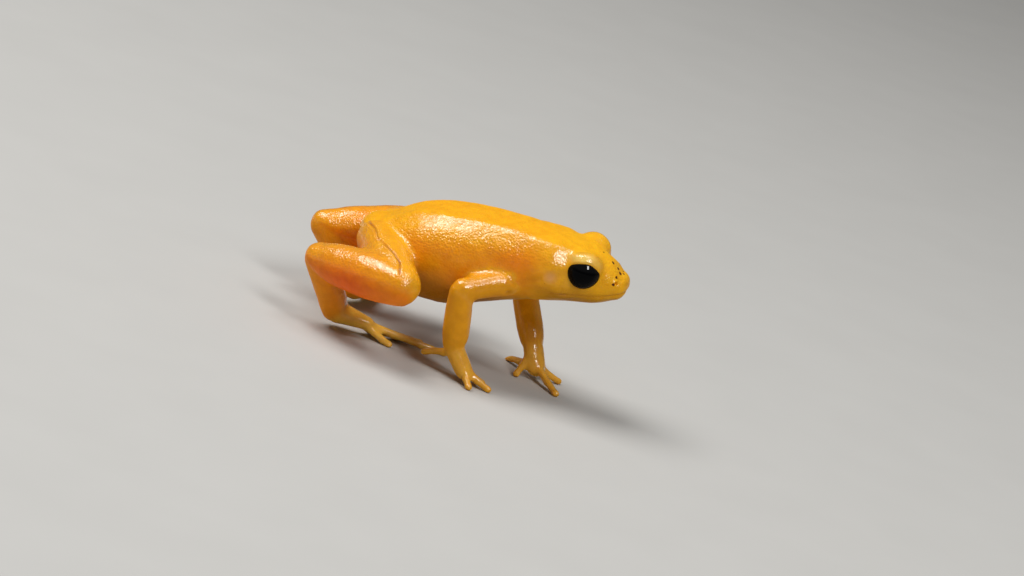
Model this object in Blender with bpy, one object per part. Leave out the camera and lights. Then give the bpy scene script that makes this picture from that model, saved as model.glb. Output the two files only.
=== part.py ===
"""Golden mantella, a small orange frog from Madagascar, standing on its four feet.

The frog looks along +X, its left side is +Y and up is +Z.  The sizes below are
in millimetres, measured back from the tip of the snout and up from the floor.
The body is lofted whole and then parted by thin cuts into head, lower jaw and
torso; each leg is a chain of lofted lengths that part at the middle of every
joint.  The solids stand on small flats under the fingers and toes.
"""
import math

import bmesh
import bpy
from mathutils import Matrix, Vector

MM = 0.001
GAP = 0.3
HALF_GAP = GAP / 2
WELD = 0.004
ON_PLANE = 1e-7
SHARP_ANGLE = math.radians(50)

# The origin lies on the floor under the middle of the whole frog.
MIDDLE_FROM_SNOUT = Vector((-14.01, 1.86, 0.0))
FLOOR = Vector((0, 0, 0))
DOWN = Vector((0, 0, -1))
UP = Vector((0, 0, 1))

# Body
SNOUT_TO_VENT = 23.3
SNOUT_ROUNDING = 0.9
SNOUT_TIP_HEIGHT = 11.4
RUMP_ROUNDING = 1.7
RUMP_TIP_HEIGHT = 8.6
BODY_ROLL = math.radians(8)
ROLL_HEIGHT = 10.0
RING_SIDES = 40
SNOUT_RING_ANGLES = (78, 62, 46, 30, 14)
HEAD_RING_STEP = 0.5
TORSO_RING_STEP = 0.95
RUMP_RING_ANGLES = (0, 22, 42, 60, 76)
BACK_SQUARENESS = 2.35
BELLY_SQUARENESS = 2.1

# A low ridge runs along each side of the back, from the eye to the hip.
RIDGE_HEIGHT = 0.2
RIDGE_SPREAD = 0.55
RIDGE_OFFSET = ((-4.2, 2.35), (-6.0, 2.25), (-10.0, 2.0), (-15.0, 1.9), (-20.5, 1.3))

# The head is turned a little to the left of the body.
HEAD_TURN = math.radians(4)
HEAD_TURN_START = -10.0
HEAD_TURN_END = -5.5

# Place along the body, height of back, height of belly, half width, height of the widest level.
STATIONS = (
    (-0.9, 12.25, 9.85, 1.66, 10.95),
    (-1.6, 12.85, 9.5, 2.32, 10.95),
    (-2.4, 13.25, 9.2, 2.9, 10.9),
    (-4.0, 13.65, 8.85, 3.5, 10.9),
    (-6.4, 13.9, 8.05, 3.8, 10.8),
    (-8.4, 13.85, 7.3, 3.75, 10.5),
    (-10.4, 13.7, 6.4, 3.95, 9.9),
    (-12.6, 13.45, 5.35, 4.35, 9.3),
    (-15.0, 13.05, 4.6, 4.6, 8.8),
    (-16.8, 12.62, 4.5, 4.5, 8.6),
    (-19.0, 11.7, 5.3, 3.8, 8.5),
    (-20.6, 10.55, 6.2, 3.0, 8.5),
    (-21.6, 9.95, 6.9, 2.3, 8.5),
)

# Head
NECK_FROM_SNOUT = -8.3
NECK_HEIGHT = 10.5
NECK_LEAN = math.radians(12)
EYE_RADIUS = 1.38
EYE_SOCKET_RADIUS = 1.55
EYELID_RADIUS = 1.8
EYE_CENTRE = Vector((-3.89, 2.3, 12.16))
EYELID_SHAPE = (1.03, 0.95, 1.0)
EYE_OPENING_HALF_LENGTH = 1.36
EYE_OPENING_HALF_HEIGHT = 1.1
EYE_OPENING_REACH = 4.0
EYE_SIDES = 18
MOUTH_LINE = ((1.5, 11.15), (0.0, 11.0), (-1.0, 10.72), (-3.0, 10.3), (-5.0, 9.98), (-6.8, 9.55),
              (-9.6, 8.4))
MOUTH_CORNER = -5.9
MOUTH_HALF_DEPTH = 8
BELOW_HEAD = 0.0
ABOVE_HEAD = 20.0
LIP_HEIGHT = 0.1
LIP_SPREAD = 0.2
LIP_OFFSET = 0.32
NOSTRIL = Vector((-1.05, 1.5, 11.75))
NOSTRIL_RADIUS = 0.17
NOSTRIL_SHAPE = (1.3, 1, 1)
NOSTRIL_SIDES = 8
EARDRUM = Vector((-6.23, 3.75, 11.26))
EARDRUM_RADIUS = 0.72
EARDRUM_DEPTH = 0.14
EARDRUM_REACH = 1.5

# Limbs.  A profile gives half thicknesses at shares of a length.
LIMB_SIDES = 14
LIMB_STEP = 0.95
CAP_RINGS = 3
UPPER_ARM_PROFILE = ((0.0, 1.2), (0.5, 1.05), (1.0, 1.02))
FOREARM_PROFILE = ((0.0, 1.02), (0.4, 1.17), (0.75, 1.18), (1.0, 0.98))
PALM_PROFILE = ((0.0, 0.98), (1.0, 0.9))
PALM_FLATNESS = 0.8
THIGH_PROFILE = ((0.0, 1.8), (0.5, 1.9), (1.0, 1.75))
SHANK_PROFILE = ((0.0, 1.8), (0.34, 2.05), (0.7, 1.86), (1.0, 1.35))
TARSUS_PROFILE = ((0.0, 1.18), (0.5, 1.26), (1.0, 1.12))
SOLE_PROFILE = ((0.0, 1.08), (0.5, 0.88), (1.0, 0.66))
SOLE_FLATNESS = 0.85

# Fingers and toes
DIGIT_RADIUS = 0.27
DIGIT_ROOT_GROWTH = 0.28
DIGIT_TIP_RADIUS = 0.33
DIGIT_TIP_SHAPE = (1.1, 1.05, 0.9)
DIGIT_TIP_SIDES = 9
DIGIT_TIP_HEIGHT = 0.25
THUMB_TIP_HEIGHT = 1.0
DIGIT_STEP = 0.8
DIGIT_BEVEL_RESOLUTION = 2
TUBERCLE_RADIUS = 0.31
TUBERCLE_DROP = 0.1
TUBERCLE_SIDES = 8
FINGER_ROOT_SHARE = 0.12
KNUCKLE_SHARE = 0.5
KNUCKLE_LIFT = 0.45
THUMB_ROOT_SHARE = 0.4
THUMB_KNUCKLE_LIFT = 0.75
FINGER_TUBERCLES = (0.6,)
TOE_ROOT_SHARE = 0.45
TOE_ROOT_STEP = 0.13
LONGEST_TOE = 3
LONG_TOE_TUBERCLES = (0.45, 0.7, 0.85)
TOE_TUBERCLES = (0.65,)

BODY_ORANGE = (0.91, 0.38, 0.012)
HEAD_ORANGE = (0.88, 0.40, 0.015)
JAW_YELLOW = (0.62, 0.33, 0.02)
LEG_ORANGE = (0.86, 0.30, 0.015)
SHANK_FLUSH = (0.85, 0.20, 0.012)
ARM_YELLOW = (0.66, 0.33, 0.012)
FOOT_YELLOW = (0.76, 0.40, 0.05)
EYE_BLACK = (0.006, 0.006, 0.008)
SKIN_ROUGHNESS = 0.34
EYE_ROUGHNESS = 0.05


def smooth_step_value(knots, place):
    """Read a value from (place, value) knots that fall in place, by a curve without overshoot."""
    if place >= knots[0][0]:
        return knots[0][1]
    if place <= knots[-1][0]:
        return knots[-1][1]
    slopes = []
    for index in range(len(knots)):
        before = knots[max(index - 1, 0)]
        after = knots[min(index + 1, len(knots) - 1)]
        here = knots[index]
        if before is here or after is here:
            slopes.append((after[1] - before[1]) / (after[0] - before[0]))
            continue
        rise_in = (here[1] - before[1]) / (here[0] - before[0])
        rise_out = (after[1] - here[1]) / (after[0] - here[0])
        flat = rise_in * rise_out <= 0
        slopes.append(0.0 if flat else 2 * rise_in * rise_out / (rise_in + rise_out))
    index = max(i for i in range(len(knots) - 1) if knots[i][0] >= place)
    start, end = knots[index], knots[index + 1]
    span = end[0] - start[0]
    t = (place - start[0]) / span
    hold = (1 + 2 * t) * (1 - t) ** 2
    reach = t * t * (3 - 2 * t)
    leave = t * (1 - t) ** 2
    arrive = t * t * (t - 1)
    return hold * start[1] + reach * end[1] + span * (leave * slopes[index] + arrive * slopes[index + 1])


def station_value(place, column):
    """One measure of the body's section at a place along it."""
    return smooth_step_value([(station[0], station[column]) for station in STATIONS], place)


def mouth_height(place):
    """Height of the mouth line at a place along the head."""
    return smooth_step_value(MOUTH_LINE, place)


def posed(point):
    """Bring a point of the level, straight body into its pose: rolled left side up, head turned."""
    axis = Vector((0, 0, ROLL_HEIGHT))
    lying = Matrix.Rotation(BODY_ROLL, 3, "X") @ (point - axis) + axis
    share = (lying.x - HEAD_TURN_START) / (HEAD_TURN_END - HEAD_TURN_START)
    share = min(max(share, 0.0), 1.0)
    pivot = Vector((HEAD_TURN_START, 0, 0))
    return Matrix.Rotation(HEAD_TURN * share, 3, "Z") @ (lying - pivot) + pivot


def section_at(place):
    """Back height, belly height, half width and widest level at a place along the body."""
    front, rear = STATIONS[0][0], STATIONS[-1][0]
    inside = min(max(place, rear), front)
    back, belly, half_width, level = (station_value(inside, column) for column in (1, 2, 3, 4))
    if place > front:
        tip, share = SNOUT_TIP_HEIGHT, (place - front) / SNOUT_ROUNDING
    elif place < rear:
        tip, share = RUMP_TIP_HEIGHT, (rear - place) / RUMP_ROUNDING
    else:
        return back, belly, half_width, level
    shrink = math.sqrt(max(0.0, 1 - share * share))
    return (tip + (back - tip) * shrink, tip + (belly - tip) * shrink,
            half_width * shrink, tip + (level - tip) * shrink)


def body_point(place, angle):
    """A point of the level body's skin, at an angle round the section from the left side."""
    back, belly, half_width, level = section_at(place)
    across, up = math.cos(angle), math.sin(angle)
    squareness = BACK_SQUARENESS if up > 0 else BELLY_SQUARENESS
    height = back - level if up > 0 else level - belly
    side = half_width * math.copysign(abs(across) ** (2 / squareness), across)
    rise = height * math.copysign(abs(up) ** (2 / squareness), up)
    point = Vector((place, side, level + rise))
    outward = Vector((0, across, up))
    size = min(1.0, half_width / 3)
    if up > 0 and place < EYE_CENTRE.x:
        from_ridge = (abs(side) - smooth_step_value(RIDGE_OFFSET, place)) / RIDGE_SPREAD
        point += outward * RIDGE_HEIGHT * size * math.exp(-from_ridge ** 2)
    if place > MOUTH_CORNER:
        for offset in (LIP_OFFSET, -LIP_OFFSET):
            from_lip = (point.z - mouth_height(place) - offset) / LIP_SPREAD
            point += outward * LIP_HEIGHT * size * math.exp(-from_lip ** 2)
    return point


def body_places():
    """Places of the body's rings, close together on the head and round both ends."""
    front, rear = STATIONS[0][0], STATIONS[-1][0]
    places = [front + SNOUT_ROUNDING * math.sin(math.radians(angle)) for angle in SNOUT_RING_ANGLES]
    place = front
    while place > NECK_FROM_SNOUT:
        places.append(place)
        place -= HEAD_RING_STEP
    while place > rear + TORSO_RING_STEP / 2:
        places.append(place)
        place -= TORSO_RING_STEP
    for angle in RUMP_RING_ANGLES:
        places.append(rear - RUMP_ROUNDING * math.sin(math.radians(angle)))
    return places


def mesh_from_form(form, name):
    """Close a bmesh form into a mesh with outward faces."""
    bmesh.ops.recalc_face_normals(form, faces=form.faces[:])
    mesh = bpy.data.meshes.new(name)
    form.to_mesh(mesh)
    form.free()
    return mesh


def loft(rings, ends, name):
    """Skin a row of rings, with a point closing each end, in metres."""
    form = bmesh.new()
    loops = [[form.verts.new(point * MM) for point in ring] for ring in rings]
    for near, far in zip(loops, loops[1:]):
        for index in range(len(near)):
            after = (index + 1) % len(near)
            form.faces.new((near[index], near[after], far[after], far[index]))
    for loop, end in ((loops[0], ends[0]), (loops[-1], ends[1])):
        tip = form.verts.new(end * MM)
        for index in range(len(loop)):
            form.faces.new((loop[index], loop[(index + 1) % len(loop)], tip))
    bmesh.ops.triangulate(form, faces=form.faces[:])
    return mesh_from_form(form, name)


def body_mesh():
    """The whole body from snout to vent, before it is parted."""
    rings = []
    for place in body_places():
        angles = [2 * math.pi * (index + 0.5) / RING_SIDES for index in range(RING_SIDES)]
        rings.append([posed(body_point(place, angle)) for angle in angles])
    snout = posed(Vector((0, 0, SNOUT_TIP_HEIGHT)))
    vent = posed(Vector((-SNOUT_TO_VENT, 0, RUMP_TIP_HEIGHT)))
    return loft(rings, (snout, vent), "body")


def swollen(mesh, distance):
    """A copy of a closed mesh, grown outwards by a distance in millimetres."""
    grown = mesh.copy()
    normals = [vertex.normal.copy() for vertex in grown.vertices]
    for vertex, normal in zip(grown.vertices, normals):
        vertex.co += normal * distance * MM
    return grown


def trimmed(mesh, point, normal):
    """Keep the part of a closed mesh behind a plane, away from its normal, and close the cut."""
    form = bmesh.new()
    form.from_mesh(mesh)
    parts = form.verts[:] + form.edges[:] + form.faces[:]
    bmesh.ops.bisect_plane(form, geom=parts, dist=ON_PLANE, plane_co=point * MM,
                           plane_no=normal.normalized(), clear_outer=True)
    rim = [edge for edge in form.edges if edge.is_boundary]
    bmesh.ops.holes_fill(form, edges=rim, sides=0)
    bmesh.ops.triangulate(form, faces=form.faces[:], ngon_method="BEAUTY")
    return mesh_from_form(form, mesh.name)


def path_samples(knots, step):
    """Points and radii at even steps on a smooth curve through (point, radius) knots."""
    padded = [knots[0]] + list(knots) + [knots[-1]]
    samples = []
    for before, start, end, after in zip(padded, padded[1:], padded[2:], padded[3:]):
        length = (end[0] - start[0]).length
        count = max(1, round(length / step))
        for index in range(count):
            t = index / count
            leave = (end[0] - before[0]) / 2
            arrive = (after[0] - start[0]) / 2
            point = ((1 + 2 * t) * (1 - t) ** 2 * start[0] + t * t * (3 - 2 * t) * end[0]
                     + t * (1 - t) ** 2 * leave + t * t * (t - 1) * arrive)
            ease = t * t * (3 - 2 * t)
            samples.append((point, start[1] + (end[1] - start[1]) * ease))
    samples.append(knots[-1])
    return samples


def limb_mesh(start, end, profile, name, flat_way=None, flatness=1.0):
    """A limb's length with round ends, oval across flat_way when flatness is under 1."""
    samples = path_samples([(start.lerp(end, share), radius) for share, radius in profile], LIMB_STEP)
    directions = []
    for index in range(len(samples)):
        before = samples[max(index - 1, 0)][0]
        after = samples[min(index + 1, len(samples) - 1)][0]
        directions.append((after - before).normalized())
    across = (flat_way or directions[0].orthogonal()).normalized()
    centres = []
    first, last = samples[0], samples[-1]
    for cap in range(1, CAP_RINGS + 1):
        angle = math.pi / 2 * cap / (CAP_RINGS + 1)
        centres.append((first[0] - directions[0] * first[1] * math.cos(angle),
                        first[1] * math.sin(angle), directions[0]))
    for (point, radius), direction in zip(samples, directions):
        centres.append((point, radius, direction))
    for cap in range(CAP_RINGS, 0, -1):
        angle = math.pi / 2 * cap / (CAP_RINGS + 1)
        centres.append((last[0] + directions[-1] * last[1] * math.cos(angle),
                        last[1] * math.sin(angle), directions[-1]))
    rings = []
    for centre, radius, direction in centres:
        across = (across - direction * across.dot(direction)).normalized()
        other = direction.cross(across)
        ring = []
        for index in range(LIMB_SIDES):
            angle = 2 * math.pi * index / LIMB_SIDES
            ring.append(centre + across * radius * flatness * math.cos(angle)
                        + other * radius * math.sin(angle))
        rings.append(ring)
    ends = (first[0] - directions[0] * first[1], last[0] + directions[-1] * last[1])
    return loft(rings, ends, name)


def ball_mesh(centre, radius, sides, name, stretch=(1, 1, 1)):
    """A ball, or an egg with stretch, at a centre in millimetres."""
    form = bmesh.new()
    scale = Matrix.Diagonal(Vector(stretch).to_4d())
    place = Matrix.Translation(centre * MM) @ scale
    bmesh.ops.create_uvsphere(form, u_segments=sides, v_segments=sides * 2 // 3,
                              radius=radius * MM, matrix=place)
    bmesh.ops.triangulate(form, faces=form.faces[:])
    return mesh_from_form(form, name)


def digit_mesh(points, radius, name):
    """A finger or toe as a capped tube on a smooth route of points in millimetres."""
    route = [point for point, _ in path_samples([(point, radius) for point in points], DIGIT_STEP)]
    curve = bpy.data.curves.new(name, "CURVE")
    curve.dimensions = "3D"
    curve.bevel_depth = radius * MM
    curve.bevel_resolution = DIGIT_BEVEL_RESOLUTION
    curve.use_fill_caps = True
    spline = curve.splines.new("POLY")
    spline.points.add(len(route) - 1)
    for index, point in enumerate(route):
        spline.points[index].co = (point * MM).to_4d()
        spline.points[index].radius = 1 + DIGIT_ROOT_GROWTH * (1 - index / (len(route) - 1))
    tube = bpy.data.objects.new(name, curve)
    bpy.context.scene.collection.objects.link(tube)
    graph = bpy.context.evaluated_depsgraph_get()
    mesh = bpy.data.meshes.new_from_object(tube.evaluated_get(graph))
    mesh.transform(tube.matrix_world)
    bpy.data.objects.remove(tube)
    form = bmesh.new()
    form.from_mesh(mesh)
    bmesh.ops.remove_doubles(form, verts=form.verts[:], dist=WELD * MM)
    bmesh.ops.triangulate(form, faces=form.faces[:])
    return mesh_from_form(form, name)


def loose_object(mesh, collection):
    """Wrap a mesh as an object of a collection."""
    item = bpy.data.objects.new(mesh.name, mesh)
    collection.objects.link(item)
    return item


def combined(mesh, others, operation):
    """One Boolean of a mesh with several others, keeping the largest closed surface."""
    pieces = bpy.data.collections.new("pieces")
    bpy.context.scene.collection.children.link(pieces)
    for other in others:
        loose_object(other, pieces)
    base = loose_object(mesh, bpy.context.scene.collection)
    boolean = base.modifiers.new("combine", "BOOLEAN")
    boolean.operation = operation
    boolean.operand_type = "COLLECTION"
    boolean.collection = pieces
    graph = bpy.context.evaluated_depsgraph_get()
    result = bpy.data.meshes.new_from_object(base.evaluated_get(graph))
    result.name = mesh.name
    for item in list(pieces.objects):
        bpy.data.objects.remove(item)
    bpy.data.collections.remove(pieces)
    bpy.data.objects.remove(base)
    return largest_surface(result)


def largest_surface(mesh):
    """Weld a mesh and keep only the closed surface that holds the most."""
    form = bmesh.new()
    form.from_mesh(mesh)
    bmesh.ops.remove_doubles(form, verts=form.verts[:], dist=WELD * MM)
    bmesh.ops.dissolve_degenerate(form, edges=form.edges[:], dist=WELD * MM)
    bmesh.ops.triangulate(form, faces=form.faces[:])
    left = set(form.faces)
    surfaces = []
    while left:
        seed = left.pop()
        surface = [seed]
        front = [seed]
        while front:
            face = front.pop()
            for edge in face.edges:
                for neighbour in edge.link_faces:
                    if neighbour in left:
                        left.remove(neighbour)
                        surface.append(neighbour)
                        front.append(neighbour)
        surfaces.append(surface)
    kept = set(max(surfaces, key=surface_volume))
    loose = [face for face in form.faces if face not in kept]
    bmesh.ops.delete(form, geom=loose, context="FACES")
    return mesh_from_form(form, mesh.name)


def surface_volume(faces):
    """Volume inside a closed set of triangles."""
    total = 0.0
    for face in faces:
        first, second, third = (vertex.co for vertex in face.verts)
        total += first.dot(second.cross(third)) / 6
    return abs(total)


def prism_mesh(outline, half_depth, name):
    """A prism across the body from an outline of (along, up) points."""
    form = bmesh.new()
    sides = []
    for side in (-half_depth, half_depth):
        loop = [posed(Vector((along, side, up))) * MM for along, up in outline]
        sides.append([form.verts.new(point) for point in loop])
    form.faces.new(sides[0])
    form.faces.new(list(reversed(sides[1])))
    for index in range(len(outline)):
        after = (index + 1) % len(outline)
        form.faces.new((sides[0][index], sides[1][index], sides[1][after], sides[0][after]))
    bmesh.ops.triangulate(form, faces=form.faces[:])
    return mesh_from_form(form, name)


def lens_cutter(centre, half_length, half_height, reach, side, name):
    """An oval rod that runs out sideways from a centre, to open the lids."""
    form = bmesh.new()
    turn = Matrix.Rotation(math.pi / 2, 4, "X")
    scale = Matrix.Diagonal(Vector((half_length, 1, half_height)).to_4d())
    middle = centre + Vector((0, side * reach / 2, 0))
    place = Matrix.Translation(middle * MM) @ scale @ turn
    bmesh.ops.create_cone(form, cap_ends=True, segments=EYE_SIDES, radius1=MM, radius2=MM,
                          depth=reach * MM, matrix=place)
    bmesh.ops.triangulate(form, faces=form.faces[:])
    for vertex in form.verts:
        vertex.co = posed(vertex.co / MM) * MM
    return mesh_from_form(form, name)


def mirrored(point, side):
    """A point of the left half, or its twin on the right."""
    return Vector((point.x, side * point.y, point.z))


def skull_mesh(body):
    """The head in front of the neck, with lids round open sockets, nostrils and eardrums."""
    neck = posed(Vector((NECK_FROM_SNOUT + HALF_GAP, 0, NECK_HEIGHT)))
    behind = Vector((-math.cos(NECK_LEAN), 0, -math.sin(NECK_LEAN)))
    front = trimmed(body, neck, behind)
    lids = []
    openings = []
    for side in (1, -1):
        centre = posed(mirrored(EYE_CENTRE, side))
        lids.append(ball_mesh(centre, EYELID_RADIUS, EYE_SIDES, "lid", EYELID_SHAPE))
        openings.append(ball_mesh(centre, EYE_SOCKET_RADIUS, EYE_SIDES, "socket"))
        openings.append(lens_cutter(mirrored(EYE_CENTRE, side), EYE_OPENING_HALF_LENGTH,
                                    EYE_OPENING_HALF_HEIGHT, EYE_OPENING_REACH, side, "opening"))
        nostril = posed(mirrored(NOSTRIL, side))
        openings.append(ball_mesh(nostril, NOSTRIL_RADIUS, NOSTRIL_SIDES, "nostril", NOSTRIL_SHAPE))
        drum = mirrored(EARDRUM, side) - Vector((0, side * EARDRUM_DEPTH, 0))
        openings.append(lens_cutter(drum, EARDRUM_RADIUS, EARDRUM_RADIUS, EARDRUM_REACH,
                                    side, "eardrum"))
    whole = combined(front, lids, "UNION")
    return combined(whole, openings, "DIFFERENCE")


def mouth_outline(offset, far_height):
    """Outline above or below the mouth line, for parting skull and jaw."""
    line = [(along, up + offset) for along, up in MOUTH_LINE]
    return line + [(line[-1][0], far_height), (line[0][0], far_height)]


def digit_pieces(route, tubercles, name):
    """A digit's tube, its round tip and the pads under its joints."""
    pieces = [digit_mesh(route, DIGIT_RADIUS, name)]
    pieces.append(ball_mesh(route[-1], DIGIT_TIP_RADIUS, DIGIT_TIP_SIDES, name + "_tip",
                            DIGIT_TIP_SHAPE))
    samples = [point for point, _ in path_samples([(point, 1) for point in route], DIGIT_STEP)]
    for share in tubercles:
        pad = samples[round(share * (len(samples) - 1))] + DOWN * TUBERCLE_DROP
        pieces.append(ball_mesh(pad, TUBERCLE_RADIUS, TUBERCLE_SIDES, name + "_pad"))
    return pieces


def digit_route(root, tip, lift):
    """Root, knuckle and tip of a digit, with the knuckle lifted by a share of the root's height."""
    knuckle = root.lerp(tip, KNUCKLE_SHARE)
    knuckle.z = tip.z + (root.z - tip.z) * lift
    return [root, knuckle, tip]


def joint_plane(before, joint, after):
    """Normal of the plane that parts two lengths at a joint, pointing along the second."""
    return ((after - joint).normalized() - (before - joint).normalized()).normalized()


def on_floor(mesh):
    """Cut a hand or foot flat where it stands, keeping one closed surface."""
    return largest_surface(trimmed(mesh, FLOOR, DOWN))


def add_part(name, mesh, colour, roughness, collection):
    """Place a finished mesh in the frog's frame as a named part with its own material."""
    mesh.transform(Matrix.Translation(-MIDDLE_FROM_SNOUT * MM))
    mesh.name = name
    material = bpy.data.materials.new(name)
    material.use_nodes = True
    shader = material.node_tree.nodes["Principled BSDF"]
    shader.inputs["Base Color"].default_value = (*colour, 1)
    shader.inputs["Roughness"].default_value = roughness
    shader.inputs["Metallic"].default_value = 0
    material.diffuse_color = (*colour, 1)
    mesh.materials.clear()
    mesh.materials.append(material)
    mesh.shade_smooth()
    mesh.set_sharp_from_angle(angle=SHARP_ANGLE)
    part = bpy.data.objects.new(name, mesh)
    collection.objects.link(part)


class Arm:
    """One fore limb: upper arm, forearm and a hand with four spread fingers."""

    def __init__(self, side, shoulder, elbow, wrist, palm, fingers):
        self.side = side
        self.shoulder = Vector(shoulder)
        self.elbow = Vector(elbow)
        self.wrist = Vector(wrist)
        self.palm = Vector(palm)
        self.fingers = [Vector(tip) for tip in fingers]

    def build(self, body_cutter, frog):
        """Model the three lengths and part them at elbow and wrist."""
        bend = joint_plane(self.shoulder, self.elbow, self.wrist)
        upper = limb_mesh(self.shoulder, self.elbow, UPPER_ARM_PROFILE, "upper_arm")
        upper = trimmed(upper, self.elbow - bend * HALF_GAP, bend)
        upper = combined(upper, [body_cutter], "DIFFERENCE")
        add_part("upper_arm_" + self.side, upper, ARM_YELLOW, SKIN_ROUGHNESS, frog)

        turn = joint_plane(self.elbow, self.wrist, self.palm)
        lower = limb_mesh(self.elbow, self.wrist, FOREARM_PROFILE, "forearm")
        lower = trimmed(lower, self.elbow + bend * HALF_GAP, -bend)
        lower = trimmed(lower, self.wrist - turn * HALF_GAP, turn)
        add_part("forearm_" + self.side, lower, ARM_YELLOW, SKIN_ROUGHNESS, frog)

        palm = limb_mesh(self.wrist, self.palm, PALM_PROFILE, "palm", UP, PALM_FLATNESS)
        pieces = []
        for index, tip in enumerate(self.fingers):
            root = self.palm.lerp(tip, FINGER_ROOT_SHARE)
            root.z = self.palm.z
            route = digit_route(root, tip, KNUCKLE_LIFT)
            if index == 0:
                root = self.wrist.lerp(self.palm, THUMB_ROOT_SHARE)
                route = digit_route(root, tip, THUMB_KNUCKLE_LIFT)
            pieces += digit_pieces(route, FINGER_TUBERCLES, "finger%d" % index)
        hand = combined(palm, pieces, "UNION")
        hand = trimmed(hand, self.wrist + turn * HALF_GAP, -turn)
        add_part("hand_" + self.side, on_floor(hand), FOOT_YELLOW, SKIN_ROUGHNESS, frog)


class Leg:
    """One hind limb: thigh, shank, tarsus and a foot with five toes."""

    def __init__(self, side, hip, knee, heel, ankle, ball, toes):
        self.side = side
        self.hip = Vector(hip)
        self.knee = Vector(knee)
        self.heel = Vector(heel)
        self.ankle = Vector(ankle)
        self.ball = Vector(ball)
        self.toes = [Vector(tip) for tip in toes]

    def build(self, body_cutter, frog):
        """Model the four lengths and part them at knee, heel and ankle."""
        fold = joint_plane(self.hip, self.knee, self.heel)
        thigh = limb_mesh(self.hip, self.knee, THIGH_PROFILE, "thigh")
        thigh = trimmed(thigh, self.knee - fold * HALF_GAP, fold)
        thigh = combined(thigh, [body_cutter], "DIFFERENCE")
        add_part("thigh_" + self.side, thigh, LEG_ORANGE, SKIN_ROUGHNESS, frog)

        hock = joint_plane(self.knee, self.heel, self.ankle)
        shank = limb_mesh(self.knee, self.heel, SHANK_PROFILE, "shank")
        shank = trimmed(shank, self.knee + fold * HALF_GAP, -fold)
        shank = trimmed(shank, self.heel - hock * HALF_GAP, hock)
        add_part("shank_" + self.side, shank, SHANK_FLUSH, SKIN_ROUGHNESS, frog)

        bend = joint_plane(self.heel, self.ankle, self.ball)
        tarsus = limb_mesh(self.heel, self.ankle, TARSUS_PROFILE, "tarsus")
        tarsus = trimmed(tarsus, self.heel + hock * HALF_GAP, -hock)
        tarsus = trimmed(tarsus, self.ankle - bend * HALF_GAP, bend)
        add_part("tarsus_" + self.side, tarsus, LEG_ORANGE, SKIN_ROUGHNESS, frog)

        sole = limb_mesh(self.ankle, self.ball, SOLE_PROFILE, "sole", UP, SOLE_FLATNESS)
        pieces = []
        for index, tip in enumerate(self.toes):
            share = TOE_ROOT_SHARE + TOE_ROOT_STEP * min(index, LONGEST_TOE)
            root = self.ankle.lerp(self.ball, share)
            root.z = self.ball.z
            pads = LONG_TOE_TUBERCLES if index == LONGEST_TOE else TOE_TUBERCLES
            pieces += digit_pieces(digit_route(root, tip, KNUCKLE_LIFT), pads, "toe%d" % index)
        foot = combined(sole, pieces, "UNION")
        foot = trimmed(foot, self.ankle + bend * HALF_GAP, -bend)
        add_part("foot_" + self.side, on_floor(foot), FOOT_YELLOW, SKIN_ROUGHNESS, frog)


# Landmarks of the limbs, from the snout tip and the floor.  Digits run from the inner to the outer.
RIGHT_ARM = Arm("right", (-9.4, -3.1, 9.0), (-12.45, -5.9, 7.75), (-11.75, -4.8, 2.6),
                (-10.4, -4.9, 1.1),
                ((-14.2, -3.6, THUMB_TIP_HEIGHT), (-8.7, -3.9, DIGIT_TIP_HEIGHT),
                 (-7.9, -5.1, DIGIT_TIP_HEIGHT), (-9.3, -6.4, DIGIT_TIP_HEIGHT)))
LEFT_ARM = Arm("left", (-9.3, 3.1, 9.6), (-9.8, 6.3, 7.6), (-6.6, 3.7, 2.7),
               (-5.75, 3.2, 1.2),
               ((-7.0, 2.2, DIGIT_TIP_HEIGHT), (-3.1, 0.7, DIGIT_TIP_HEIGHT),
                (-3.7, 4.5, DIGIT_TIP_HEIGHT), (-8.7, 6.0, DIGIT_TIP_HEIGHT)))
RIGHT_LEG = Leg("right", (-21.2, -1.7, 8.2), (-17.0, -8.25, 6.95), (-24.95, -4.6, 5.75),
                (-22.4, -2.9, 1.45), (-19.8, -2.3, 1.2),
                ((-19.2, -0.7, DIGIT_TIP_HEIGHT), (-17.4, 0.1, DIGIT_TIP_HEIGHT),
                 (-15.5, 1.0, DIGIT_TIP_HEIGHT), (-13.2, 0.5, DIGIT_TIP_HEIGHT),
                 (-17.4, -2.7, DIGIT_TIP_HEIGHT)))
LEFT_LEG = Leg("left", (-20.9, 1.7, 8.6), (-18.5, 8.5, 7.95), (-26.8, 3.7, 6.35),
               (-23.2, 5.6, 1.4), (-22.3, 8.2, 1.15),
               ((-23.0, 9.6, DIGIT_TIP_HEIGHT), (-21.9, 10.1, DIGIT_TIP_HEIGHT),
                (-20.8, 11.4, DIGIT_TIP_HEIGHT), (-20.0, 13.4, DIGIT_TIP_HEIGHT),
                (-23.8, 12.0, DIGIT_TIP_HEIGHT)))


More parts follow.
